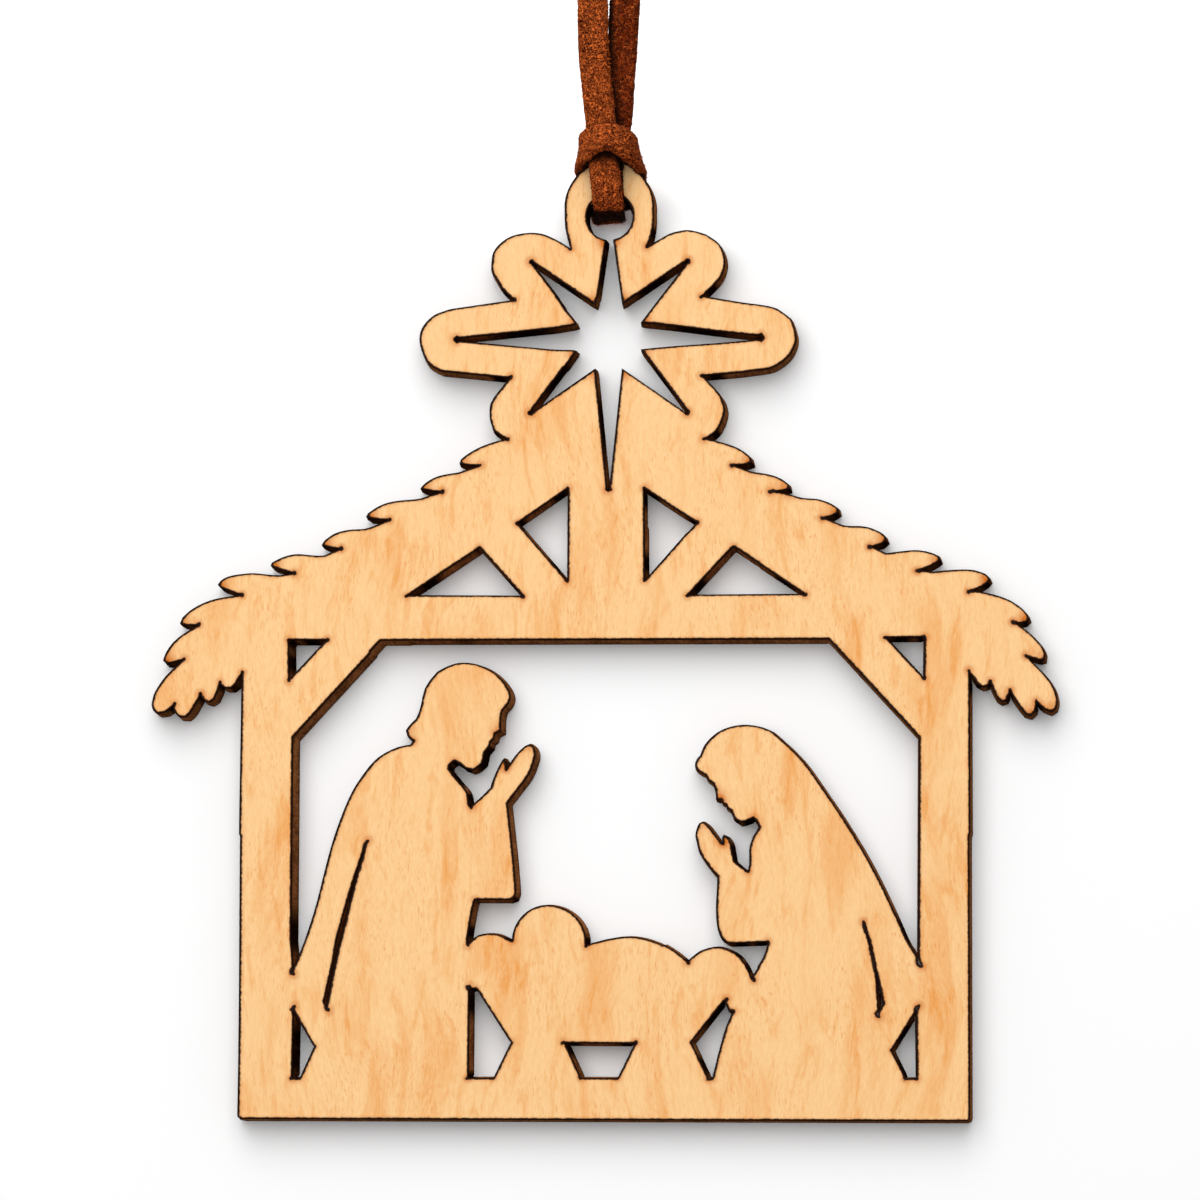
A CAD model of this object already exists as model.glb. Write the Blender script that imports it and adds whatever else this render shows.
# Nativity scene ornament: a laser-cut plywood stable hung on a flat suede lace

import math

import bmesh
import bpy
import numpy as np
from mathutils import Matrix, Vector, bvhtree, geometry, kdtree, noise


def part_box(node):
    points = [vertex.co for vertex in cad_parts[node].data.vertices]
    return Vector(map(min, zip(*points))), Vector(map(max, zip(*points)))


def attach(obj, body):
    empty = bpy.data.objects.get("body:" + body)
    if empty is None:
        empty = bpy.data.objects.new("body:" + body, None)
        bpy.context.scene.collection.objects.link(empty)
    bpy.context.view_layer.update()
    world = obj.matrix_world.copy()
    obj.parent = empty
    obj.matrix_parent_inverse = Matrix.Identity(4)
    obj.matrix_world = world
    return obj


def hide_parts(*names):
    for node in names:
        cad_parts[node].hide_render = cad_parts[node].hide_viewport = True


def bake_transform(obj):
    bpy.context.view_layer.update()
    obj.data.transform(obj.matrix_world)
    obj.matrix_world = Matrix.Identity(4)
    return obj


bl_info = {
    "name": "Nativity scene ornament",
    "version": (1, 0, 0),
    "blender": (4, 5, 0),
    "location": "3D View > Sidebar > Ornament",
    "description": "Dresses a hanging plywood nativity scene with birch, scorched edges and napped suede",
    "category": "Object",
}

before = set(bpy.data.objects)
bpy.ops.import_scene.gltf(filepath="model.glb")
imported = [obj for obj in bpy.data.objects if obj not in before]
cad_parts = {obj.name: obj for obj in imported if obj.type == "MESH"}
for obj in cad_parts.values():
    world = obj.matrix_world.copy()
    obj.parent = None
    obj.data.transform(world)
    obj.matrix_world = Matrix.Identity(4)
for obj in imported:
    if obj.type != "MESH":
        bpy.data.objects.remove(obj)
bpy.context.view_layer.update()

MM = 0.001
GOLDEN_ANGLE = 2.39996  # between neighbours of an even spiral of points
PLATE_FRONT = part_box("front_veneer")[0].y
PLATE_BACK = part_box("back_veneer")[1].y
PLATE_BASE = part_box("core_ply")[0].z
GLUE_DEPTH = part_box("core_ply")[1].y
HOLE_Z = -74.0 * MM
HOLE_TOP = HOLE_Z + 2.4 * MM
HOLE_RIM = 2.9 * MM  # cut walls within this of the hole's centre are its own
STAR_FOOT = -95  # mm: the star and its border lie above it, the roof and the stable below
PHOTO_PIXELS, FOCAL_PIXELS = 1200, 5989
PAPER_REACH = 0.8  # how far the paper goes to each side


def paint(red, green, blue):
    """A colour as read off a screen, as the linear one that a shader takes."""
    tones = [c / 255 for c in (red, green, blue)]
    return tuple(c / 12.92 if c <= 0.04045 else ((c + 0.055) / 1.055) ** 2.4 for c in tones)


SOOT = paint(12, 4, 1)


# Sizes and colours that a user would change


class LaceSettings(bpy.types.PropertyGroup):
    """The suede lace."""

    width: bpy.props.FloatProperty(
        name="Width", description="Width of the flat lace", default=3.08 * MM, unit="LENGTH")
    thickness: bpy.props.FloatProperty(
        name="Thickness", description="Thickness of the lace", default=1.05 * MM, unit="LENGTH")
    unevenness: bpy.props.FloatProperty(
        name="Unevenness", description="How far the cut edges wander", default=0.1 * MM, unit="LENGTH")
    hair_length: bpy.props.FloatProperty(
        name="Hair length", description="Length of one hair of the nap", default=0.2 * MM, unit="LENGTH")
    hair_thickness: bpy.props.FloatProperty(
        name="Hair thickness", description="Thickness of one hair", default=0.04 * MM, unit="LENGTH")
    hairs: bpy.props.FloatProperty(
        name="Hairs", description="Hairs on each square millimetre", default=9.0, subtype="UNSIGNED")
    colour: bpy.props.FloatVectorProperty(
        name="Colour", description="Usual colour of the nap", default=paint(150, 54, 13), subtype="COLOR")
    dark: bpy.props.FloatVectorProperty(
        name="Hollows", description="Colour between the hairs", default=paint(52, 14, 2), subtype="COLOR")
    light: bpy.props.FloatVectorProperty(
        name="Tips", description="Colour of raised hairs", default=paint(240, 118, 50), subtype="COLOR")


class PlywoodSettings(bpy.types.PropertyGroup):
    """The three plies and their laser-cut edges."""

    kerf_taper: bpy.props.FloatProperty(
        name="Kerf taper", description="How much further the wood reaches at the back than at the front",
        default=0.15 * MM, unit="LENGTH")
    edge_break: bpy.props.FloatProperty(
        name="Edge break", description="Small bevel where the beam entered", default=0.05 * MM, unit="LENGTH")
    point_spacing: bpy.props.FloatProperty(
        name="Outline spacing", description="Distance between points along the cut", default=0.3 * MM,
        unit="LENGTH")
    char_width: bpy.props.FloatProperty(
        name="Char width", description="Width of the black line on the face, in millimetres", default=0.19)
    halo_width: bpy.props.FloatProperty(
        name="Halo width", description="Reach of the brown halo on the face, in millimetres", default=0.55)
    birch: bpy.props.FloatVectorProperty(
        name="Birch", description="Usual colour of the veneer", default=paint(254, 210, 152), subtype="COLOR")
    streak: bpy.props.FloatVectorProperty(
        name="Streaks", description="Warmer streaks in the veneer", default=paint(240, 164, 88),
        subtype="COLOR")
    fleck: bpy.props.FloatVectorProperty(
        name="Flecks", description="Short brown flecks", default=paint(232, 138, 58), subtype="COLOR")
    scorch: bpy.props.FloatVectorProperty(
        name="Scorch", description="Toasted wood at sharp corners", default=paint(208, 114, 36),
        subtype="COLOR")
    char: bpy.props.FloatVectorProperty(
        name="Char", description="Burnt rim of a cut", default=paint(30, 11, 3), subtype="COLOR")
    wall: bpy.props.FloatVectorProperty(
        name="Cut wall", description="Brown of a cut wall", default=paint(198, 128, 76), subtype="COLOR")
    wall_dark: bpy.props.FloatVectorProperty(
        name="Wall stripes", description="Darker stripes of a cut wall", default=paint(120, 72, 40),
        subtype="COLOR")


class StageSettings(bpy.types.PropertyGroup):
    """Camera, light and background."""

    backdrop: bpy.props.FloatVectorProperty(
        name="Backdrop", description="Colour of backdrop and floor", default=(0.97, 0.97, 0.97),
        subtype="COLOR")
    floor_drop: bpy.props.FloatProperty(
        name="Floor drop", description="Depth of the floor under the plate", default=60.0 * MM, unit="LENGTH")
    gap: bpy.props.FloatProperty(
        name="Gap", description="Space between the plate and the paper", default=0.2 * MM, unit="LENGTH")
    room_light: bpy.props.FloatProperty(
        name="Room light", description="Even light from all sides, where 1 lights a white surface fully",
        default=0.35)
    window_light: bpy.props.FloatProperty(
        name="Window light", description="Light of the lamp at the upper left on the face", default=0.66)


# Curves


def through(points, step):
    """Points along a smooth curve that passes through all the given points."""
    ends = [points[0] * 2 - points[1]] + points + [points[-1] * 2 - points[-2]]
    found = [points[0]]
    for a, b, c, d in zip(ends, ends[1:], ends[2:], ends[3:]):
        gaps = [max(math.sqrt((q - p).length), 1e-6) for p, q in ((a, b), (b, c), (c, d))]
        slope_b = (b - a) / gaps[0] - (c - a) / (gaps[0] + gaps[1]) + (c - b) / gaps[1]
        slope_c = (c - b) / gaps[1] - (d - b) / (gaps[1] + gaps[2]) + (d - c) / gaps[2]
        count = max(1, math.ceil((c - b).length / step))
        for i in range(1, count + 1):
            t = i / count
            ease = t * t * (3 - 2 * t)
            lead = gaps[1] * (t * (1 - t) ** 2 * slope_b - t * t * (1 - t) * slope_c)
            found.append(b.lerp(c, ease) + lead)
    return found


# The lace's way, close to the one in the CAD source: places, each with the way its face turns

FRONT_LAYER, REAR_LAYER = -3.375, -2.225  # mm: how deep the left and the right strand lie
SEAM_Z = HOLE_Z + 13.55 * MM  # where the hitch's piece ends and the strands' begin
WANDERS = ((0.3, 0.9), (0.6, 3.3), (0.5, 6.5))  # shares of the edges' unevenness, and waves per mm


def lace_point(x, y, rise, facing=(0, -1, 0)):
    """A point of the lace, given in millimetres, with its rise above the hole's centre."""
    return Vector((x * MM, y * MM, HOLE_Z + rise * MM)), Vector(facing).normalized()


def strand_way(side, layer):
    """One standing strand from the hitch up to the knot: side is -1 for the left one."""
    near = layer if side < 0 else layer + 0.4
    out = (0.75, 1.05, 1.33, 1.5, 1.62) if side < 0 else (0.75, 0.97, 1.13, 1.32, 1.56)
    spots = [
        (out[0], near, 9.6), (out[1], near, 12.4), (out[2], near, 14.95), (out[3], near, 17.6),
        (out[4], layer * 0.87, 22.04), (2.3, layer * 0.45, 40.7), (2.3, layer * 0.15, 59.94),
        (1.7, 0.0, 69.93), (1.55, 0.0, 73.2), (0.75, side * 0.4, 75.6), (0.3, side * 0.6, 77.6),
        (0.75, side * 0.4, 79.4), (1.55, 0.0, 81.4), (1.75, side * -0.1, 83.7), (2.45, side * -0.3, 86.85),
        (3.55, side * -0.4, 89.64),
    ]
    return [lace_point(side * x, y, rise) for x, y, rise in spots]


def lace_way():
    """The whole lace, from its left end down, round the ring and up to its right end."""
    left_down = [
        (-0.55, -3.375, 7.6), (-0.38, -3.375, 5.2), (-0.1, -3.375, 2.6),
        (-0.02, -2.6, 1.35, (0, -0.65, -0.75)), (0, -1.1, 0.95, (0, -0.25, -0.97)),
        (-0.1, 1.2, 0.4, (0, -0.15, -0.99)), (-0.6, 2.95, 0.9, (0, 0.7, -0.7)),
        (-1.15, 3.5, 2.4, (0, 1, 0)), (-1.9, 2.775, 4.3, (-0.1, 1, 0.1)),
        (-2.3, 2.125, 5.3, (-0.6, 0.75, 0.4)), (-2.62, 0.35, 5.95, (-0.9, 0.1, 0.42)),
        (-2.62, -2.1, 6.45, (-0.93, -0.25, 0.26)), (-2.15, -3.925, 7.05, (-0.62, -0.78, 0.1)),
        (-1.0, -4.575, 7.68, (-0.05, -0.93, 0.35)), (0, -4.65, 7.8, (0, -0.9, 0.43)),
    ]
    right_up = [
        (1.0, -4.575, 7.62, (0.05, -0.93, 0.35)), (2.05, -4.0, 6.95, (0.55, -0.82, 0.14)),
        (2.72, -2.2, 6.15, (0.93, -0.25, 0.26)), (2.7, 0.35, 5.75, (0.9, 0.1, 0.42)),
        (2.3, 2.125, 5.3, (0.6, 0.75, 0.4)), (1.9, 2.225, 4.3, (0.1, 1, 0.1)),
        (1.2, 2.225, 2.9, (0, 1, 0)), (0.55, 1.95, 2.1, (0, 0.7, -0.7)),
        (0.1, 1.1, 1.93, (0, 0, -1)), (0, -1.1, 1.95, (0, 0, -1)),
        (0, -1.95, 2.4, (0, -0.7, -0.7)), (-0.05, -2.225, 3.2),
        (-0.05, -2.225, 5.0), (0.35, -2.1, 7.6),
    ]
    tied = [lace_point(*spot) for spot in left_down + right_up]
    return strand_way(-1, FRONT_LAYER)[::-1] + tied + strand_way(1, REAR_LAYER)


def walked(way, step):
    """The way as close points, and the direction that the lace faces at each."""
    spots = through([place for place, _ in way], step)
    facings = []
    for (p, turn), (q, next_turn) in zip(way, way[1:]):
        count = max(1, math.ceil((q - p).length / step))
        for k in range(count):
            t = k / count
            facings.append(turn.lerp(next_turn, t * t * (3 - 2 * t)).normalized())
    facings.append(way[-1][1])
    return spots, facings


# Meshes


def step_between(value, start, end):
    """A smooth step from 0 at start to 1 at end."""
    t = min(1.0, max(0.0, (value - start) / (end - start)))
    return t * t * (3 - 2 * t)


def length_of(spots):
    """Length of a line through these points."""
    return sum((q - p).length for p, q in zip(spots, spots[1:]))


def carry(mesh, label, values, kind="FLOAT"):
    """Let a mesh carry a value for each of its points, under a name that materials read."""
    kept = mesh.attributes.new(label, kind, "POINT")
    kept.data.foreach_set("value" if kind == "FLOAT" else "vector", np.array(values, np.float32).ravel())


def mesh_object(name, points, faces, materials, smooth=40.0):
    """A new object at the origin with this mesh."""
    mesh = bpy.data.meshes.new(name)
    mesh.from_pydata(points, [], faces)
    mesh.validate()
    for material in materials:
        mesh.materials.append(material)
    mesh.shade_smooth()
    mesh.set_sharp_from_angle(angle=math.radians(smooth))
    made = bpy.data.objects.new(name, mesh)
    bpy.context.scene.collection.objects.link(made)
    return made


def lace_section(thickness, width):
    """Section of the lace: offsets out of its face and across it, with rounded edges."""
    ease = thickness * 0.42
    across = width / 2 - ease
    turn = [math.radians(90 - 30 * i) for i in range(7)]
    edge = [(thickness / 2 * math.sin(t), across + ease * math.cos(t)) for t in turn]
    flat = [across * s for s in (-0.6, -0.2, 0.2, 0.6)]
    section = [(thickness / 2, b) for b in flat] + edge
    return section + [(-thickness / 2, -b) for b in flat] + [(-a, -b) for a, b in edge]


def hole_cup(spot):
    """How much the lace is cupped by the round hole at a point of its way, from 0 to 1."""
    return 0.0 if spot.z > HOLE_TOP else step_between(2.5 * MM - abs(spot.y), 0.0, 1.2 * MM)


def swept(spots, facings, settings, start=0.0):
    """Sweep the lace's section along close points.

    Also gives each point's place on the straight lace, in mm.
    """
    section = lace_section(settings.thickness, settings.width)
    points, straight, faces, along = [], [], [], start
    for i, spot in enumerate(spots):
        before, after = spots[max(i - 1, 0)], spots[min(i + 1, len(spots) - 1)]
        ahead = (after - before).normalized()
        out = (facings[i] - ahead * facings[i].dot(ahead)).normalized()
        across = ahead.cross(out)
        if i:
            along += (spot - spots[i - 1]).length / MM
        cup = hole_cup(spot)
        for a, b in section:
            away = (out * a + across * b * 0.5).normalized()
            # In the hole the lace is pressed thinner, and its edges bend up
            lie = spot + out * (a * (1 - 0.35 * cup) + cup * (190.0 * b * b - 0.36 * MM)) + across * b
            wander = sum(share * noise.noise(lie / MM * often) for share, often in WANDERS)
            points.append(lie + away * wander * settings.unevenness)
            straight.append((a / MM, b / MM, along))
    n = len(section)
    for i in range(len(spots) - 1):
        for j in range(n):
            k = (j + 1) % n
            faces.append((i * n + j, i * n + k, (i + 1) * n + k, (i + 1) * n + j))
    faces.append(tuple(range(n))[::-1])
    faces.append(tuple(range((len(spots) - 1) * n, len(spots) * n)))
    return points, straight, faces


def ribbon(name, spots, facings, settings, materials, around, start=0.0, turned=1000.0):
    """One piece of lace, which carries its place on the straight lace, its crevices and its nap's way.

    The nap lies down the lace as far as turned, in mm, and against it further on, where it looks darker.
    """
    points, straight, faces = swept(spots, facings, settings, start)
    made = mesh_object(name, points, faces, materials, 60.0)
    turn_outwards(made)
    carry(made.data, "straight", straight, "FLOAT_VECTOR")
    shade = crevices(made.data, around)
    # The hole closes off what the few rays miss
    carry(made.data, "crevice", [a + 0.3 * hole_cup(v.co) for a, v in zip(shade, made.data.vertices)])
    carry(made.data, "against", [step_between(spot[2], turned, turned + 8.0) for spot in straight])
    return made


def surroundings(meshes):
    """One surface of several (points, faces) pairs, which rays can be cast at."""
    points, faces = [], []
    for some_points, some_faces in meshes:
        faces += [tuple(len(points) + i for i in face) for face in some_faces]
        points += some_points
    return bvhtree.BVHTree.FromPolygons(points, faces)


def crevices(mesh, around, reach=3.4 * MM, rays=18):
    """For each point, from 0 to 1, how much of what it faces is closed off within reach."""
    fan = []
    for k in range(rays):
        side, turn = math.sqrt((k + 0.5) / rays), k * GOLDEN_ANGLE
        fan.append(Vector((side * math.cos(turn), side * math.sin(turn), math.sqrt(1 - side * side))))
    depth = np.zeros(len(mesh.vertices), np.float32)
    for i, vertex in enumerate(mesh.vertices):
        turned = vertex.normal.to_track_quat("Z", "Y")
        start = vertex.co + vertex.normal * 0.06 * MM
        hits = [around.ray_cast(start, turned @ ray, reach)[3] for ray in fan]
        depth[i] = sum(1.0 - (gap / reach) ** 2 for gap in hits if gap is not None) / rays
    return depth


def turn_outwards(made):
    """Turn all the faces of a closed mesh outwards."""
    whole = bmesh.new()
    whole.from_mesh(made.data)
    bmesh.ops.recalc_face_normals(whole, faces=whole.faces)
    whole.to_mesh(made.data)
    whole.free()


# Node helpers


def node(tree, kind, inputs=None, **settings):
    """A node with its settings; each input is a value or the socket that feeds it."""
    made = tree.nodes.new(kind)
    for key, value in settings.items():
        setattr(made, key, value)
    for key, value in (inputs or {}).items():
        if isinstance(value, bpy.types.NodeSocket):
            tree.links.new(value, made.inputs[key])
        else:
            made.inputs[key].default_value = value
    return made


def sums(tree, operation, first, second=0.0, third=0.0):
    """The result of one arithmetic step."""
    return node(tree, "ShaderNodeMath", {0: first, 1: second, 2: third}, operation=operation).outputs[0]


def times(tree, first, second):
    """The product of two numbers."""
    return sums(tree, "MULTIPLY", first, second)


def plus(tree, first, *others):
    """The sum of several numbers."""
    for other in others:
        first = sums(tree, "ADD", first, other)
    return first


def flipped(tree, mask):
    """A mask turned round: 1 where it is 0."""
    return sums(tree, "SUBTRACT", 1.0, mask)


def vectors(tree, operation, first, second):
    """The result of one step of vector arithmetic."""
    return node(tree, "ShaderNodeVectorMath", {0: first, 1: second}, operation=operation).outputs[0]


def fade(tree, value, start, end):
    """A smooth step from 0 at start to 1 at end."""
    return node(tree, "ShaderNodeMapRange", {"Value": value, "From Min": start, "From Max": end},
                interpolation_type="SMOOTHSTEP").outputs[0]


def blended(tree, mask, first, second):
    """The first colour where the mask is 0 and the second where it is 1."""
    made = node(tree, "ShaderNodeMix", data_type="RGBA")
    for socket, value in ((made.inputs["Factor"], mask), (made.inputs[6], first), (made.inputs[7], second)):
        if isinstance(value, bpy.types.NodeSocket):
            tree.links.new(value, socket)
        else:
            socket.default_value = value if isinstance(value, float) else (*value, 1.0)
    return made.outputs[2]


def cloud(tree, vector, stretch, detail=2.0, distortion=0.0, roughness=0.5):
    """Noise on a vector in mm, with so many clouds per mm along each axis."""
    return node(tree, "ShaderNodeTexNoise", {
        "Vector": vectors(tree, "MULTIPLY", vector, stretch), "Scale": 1.0, "Detail": detail,
        "Roughness": roughness, "Distortion": distortion}).outputs[0]


def node_group(name, inputs, outputs, tree_type="ShaderNodeTree"):
    """An empty node group with named sockets."""
    tree = bpy.data.node_groups.new(name, tree_type)
    for label, kind, default in inputs:
        socket = tree.interface.new_socket(label, in_out="INPUT", socket_type="NodeSocket" + kind)
        if default is not None:
            socket.default_value = default
    for label, kind in outputs:
        tree.interface.new_socket(label, in_out="OUTPUT", socket_type="NodeSocket" + kind)
    return tree, tree.nodes.new("NodeGroupInput"), tree.nodes.new("NodeGroupOutput")


def placed(tree, group, inputs):
    """A node group placed in a material with its own values."""
    return node(tree, "ShaderNodeGroup", inputs, node_tree=group)


def put_out(tree, result, values):
    """Feed a group's outputs."""
    for label, value in values.items():
        tree.links.new(value, result.inputs[label])


def material(name, roughness, specular):
    """A material with its shader, whose constant values are set on its own sockets."""
    made = bpy.data.materials.new(name)
    made.use_nodes = True
    shader = made.node_tree.nodes["Principled BSDF"]
    shader.inputs["Roughness"].default_value = roughness
    shader.inputs["Specular IOR Level"].default_value = specular
    return made, made.node_tree, shader


def bumped(tree, shader, height, strength, distance):
    """Let the shader's surface rise and sink with a height."""
    bump = node(tree, "ShaderNodeBump", {"Height": height, "Strength": strength, "Distance": distance})
    tree.links.new(bump.outputs[0], shader.inputs["Normal"])


def in_millimetres(tree):
    """Object coordinates in millimetres."""
    spot = node(tree, "ShaderNodeTexCoord").outputs["Object"]
    return node(tree, "ShaderNodeVectorMath", {0: spot, 3: 1000.0}, operation="SCALE").outputs[0]


def carried(tree, name, output="Fac"):
    """What the mesh carries under a name."""
    return node(tree, "ShaderNodeAttribute", attribute_name=name).outputs[output]


def axis_of(tree, vector, axis):
    """One part of a vector."""
    return node(tree, "ShaderNodeSeparateXYZ", {0: vector}).outputs[axis]


# Suede


def winding(tree, spot, scale, distortion):
    """Thin winding lines, 1 along each line, where a noise passes its middle value."""
    tangle = cloud(tree, spot, (scale, scale, scale), 1.0, distortion)
    off = sums(tree, "ABSOLUTE", sums(tree, "SUBTRACT", tangle, 0.5))
    return flipped(tree, fade(tree, off, 0.01, 0.068))


def nap_group():
    """Colour and height of brushed suede on the lace's own straight coordinates."""
    if "suede nap" in bpy.data.node_groups:
        return bpy.data.node_groups["suede nap"]
    tree, given, result = node_group(
        "suede nap",
        [("Vector", "Vector", None), ("Dark", "Color", None), ("Middle", "Color", None),
         ("Light", "Color", None), ("Lightness", "Float", 0.0), ("Crevice", "Float", 0.0)],
        [("Colour", "Color"), ("Height", "Float")])
    spot = given.outputs["Vector"]
    patches = cloud(tree, spot, (0.35, 0.5, 0.25), 2.0)
    hollows = cloud(tree, spot, (1.9, 1.9, 1.9), 3.0, 0.8, 0.6)
    curls = sums(tree, "MAXIMUM", winding(tree, spot, 2.7, 1.6), winding(tree, spot, 3.9, 1.2))
    level = plus(tree, times(tree, curls, 0.72), times(tree, hollows, 0.62), times(tree, patches, 0.3),
                 given.outputs["Lightness"])
    colour = blended(tree, fade(tree, level, 0.5, 0.84), given.outputs["Dark"], given.outputs["Middle"])
    colour = blended(tree, fade(tree, level, 0.93, 1.16), colour, given.outputs["Light"])
    sunk = times(tree, fade(tree, given.outputs["Crevice"], 0.06, 0.5), 0.95)
    put_out(tree, result, {"Colour": blended(tree, sunk, colour, SOOT), "Height": level})
    return tree


def suede_material(name, settings, lightness, height):
    """Napped suede: the same nap for the lace's body and, paler, for its hairs."""
    if name in bpy.data.materials:
        return bpy.data.materials[name]
    made, tree, shader = material(name, 0.92, 0.03)
    nap = placed(tree, nap_group(), {
        "Vector": carried(tree, "straight", "Vector"), "Dark": (*settings.dark, 1.0),
        "Middle": (*settings.colour, 1.0), "Light": (*settings.light, 1.0), "Crevice": carried(tree, "crevice"),
        "Lightness": sums(tree, "MULTIPLY_ADD", carried(tree, "against"), -0.19, lightness)})
    tree.links.new(nap.outputs["Colour"], shader.inputs["Base Color"])
    for name, value in (("Weight", 0.04), ("Roughness", 0.5), ("Tint", (0.85, 0.5, 0.32, 1.0))):
        shader.inputs["Sheen " + name].default_value = value
    if height:
        bumped(tree, shader, nap.outputs["Height"], 1.0, height)
    return made


def hair_tree():
    """Geometry nodes that grow short curved hairs on a surface and keep the surface."""
    if "suede hairs" in bpy.data.node_groups:
        return bpy.data.node_groups["suede hairs"]
    tree, given, result = node_group(
        "suede hairs",
        [("Geometry", "Geometry", None), ("Hairs per square metre", "Float", 8e6),
         ("Length", "Float", 0.3 * MM), ("Thickness", "Float", 0.03 * MM), ("Seed", "Int", 1),
         ("Finish", "Material", None)],
        [("Geometry", "Geometry")], "GeometryNodeTree")
    spread = node(tree, "GeometryNodeDistributePointsOnFaces", {
        "Mesh": given.outputs["Geometry"], "Density": given.outputs["Hairs per square metre"],
        "Seed": given.outputs["Seed"]})
    # One hair: a bent curve of two pieces with a three-sided section
    line = node(tree, "GeometryNodeCurveQuadraticBezier", {
        "Resolution": 3, "Start": (0.0, 0.0, -0.1), "Middle": (0.0, 0.0, 0.55), "End": (0.75, 0.0, 0.7)})
    sized = node(tree, "GeometryNodeTransform", {"Geometry": line.outputs[0]})
    length = node(tree, "ShaderNodeCombineXYZ", {axis: given.outputs["Length"] for axis in range(3)})
    tree.links.new(length.outputs[0], sized.inputs["Scale"])
    ring = node(tree, "GeometryNodeCurvePrimitiveCircle", {"Resolution": 3})
    tree.links.new(times(tree, given.outputs["Thickness"], 0.5), ring.inputs["Radius"])
    hair = node(tree, "GeometryNodeCurveToMesh", {
        "Curve": sized.outputs[0], "Profile Curve": ring.outputs["Curve"], "Fill Caps": True})
    lean = node(tree, "FunctionNodeRandomValue", {0: (-0.75, -0.75, 0.0), 1: (0.75, 0.75, 2 * math.pi),
                                                  "Seed": given.outputs["Seed"]}, data_type="FLOAT_VECTOR")
    turned = node(tree, "FunctionNodeEulerToRotation", {0: lean.outputs[0]})
    stance = node(tree, "FunctionNodeRotateRotation", {
        0: spread.outputs["Rotation"], 1: turned.outputs[0]}, rotation_space="LOCAL")
    grown = node(tree, "FunctionNodeRandomValue", {2: 0.5, 3: 1.15, "Seed": given.outputs["Seed"]},
                 data_type="FLOAT")
    spots = node(tree, "GeometryNodeInstanceOnPoints", {
        "Points": spread.outputs["Points"], "Instance": hair.outputs[0],
        "Rotation": stance.outputs[0], "Scale": grown.outputs[1]})
    whole = node(tree, "GeometryNodeRealizeInstances", {0: spots.outputs[0]})
    painted = node(tree, "GeometryNodeSetMaterial", {
        "Geometry": whole.outputs[0], "Material": given.outputs["Finish"]})
    both = node(tree, "GeometryNodeJoinGeometry")
    tree.links.new(painted.outputs[0], both.inputs[0])
    tree.links.new(given.outputs["Geometry"], both.inputs[0])
    tree.links.new(both.outputs[0], result.inputs[0])
    return tree


def grow_nap(made, settings, seed):
    """Grow the nap on a piece of lace and leave it a plain mesh."""
    tree = hair_tree()
    grower = made.modifiers.new("nap", "NODES")
    grower.node_group = tree
    values = {
        "Hairs per square metre": settings.hairs / MM**2, "Length": settings.hair_length,
        "Thickness": settings.hair_thickness, "Seed": seed,
        "Finish": suede_material("suede_hairs", settings, 0.16, 0.0),
    }
    for socket in tree.interface.items_tree:
        if socket.in_out == "INPUT" and socket.name in values:
            grower[socket.identifier] = values[socket.name]
    bpy.context.view_layer.update()
    ready = made.evaluated_get(bpy.context.evaluated_depsgraph_get())
    grown = bpy.data.meshes.new_from_object(ready, preserve_all_data_layers=True,
                                            depsgraph=bpy.context.evaluated_depsgraph_get())
    made.modifiers.remove(grower)
    made.data = grown


# Plywood outlines


def outlines_of(name):
    """The closed outlines of a ply at its front, as (x, z) points with the wood on their left."""
    whole = bmesh.new()
    whole.from_mesh(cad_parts[name].data)
    bmesh.ops.remove_doubles(whole, verts=whole.verts, dist=1e-6)
    front = min(v.co.y for v in whole.verts)
    beside = {}
    for edge in whole.edges:
        a, b = edge.verts
        flat = sum(abs(face.normal.y) > 0.5 for face in edge.link_faces)
        if flat == 1 and max(a.co.y, b.co.y) < front + 1e-6:
            beside.setdefault(a.index, []).append(b.index)
            beside.setdefault(b.index, []).append(a.index)
    whole.verts.ensure_lookup_table()
    left, loops = set(beside), []
    while left:
        loop = [min(left)]
        left.discard(loop[0])
        while True:
            following = [i for i in beside[loop[-1]] if i in left]
            if not following:
                break
            loop.append(following[0])
            left.discard(following[0])
        loops.append([Vector((whole.verts[i].co.x, whole.verts[i].co.z)) for i in loop])
    whole.free()
    loops.sort(key=lambda loop: -abs(area(loop)))
    return [loop if (area(loop) > 0) == (i == 0) else loop[::-1] for i, loop in enumerate(loops)]


def area(loop):
    """Signed area of a closed outline."""
    return sum(p.x * q.y - q.x * p.y for p, q in zip(loop, loop[1:] + loop[:1])) / 2


def bend(a, b, c):
    """Turn at b in degrees, positive to the left."""
    return math.degrees(math.atan2((b - a).cross(c - b), (b - a).dot(c - b)))


def sides_at(loop, i):
    """The ways that a closed outline comes to and leaves one of its points."""
    return (loop[i] - loop[i - 1]).normalized(), (loop[(i + 1) % len(loop)] - loop[i]).normalized()


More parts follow.
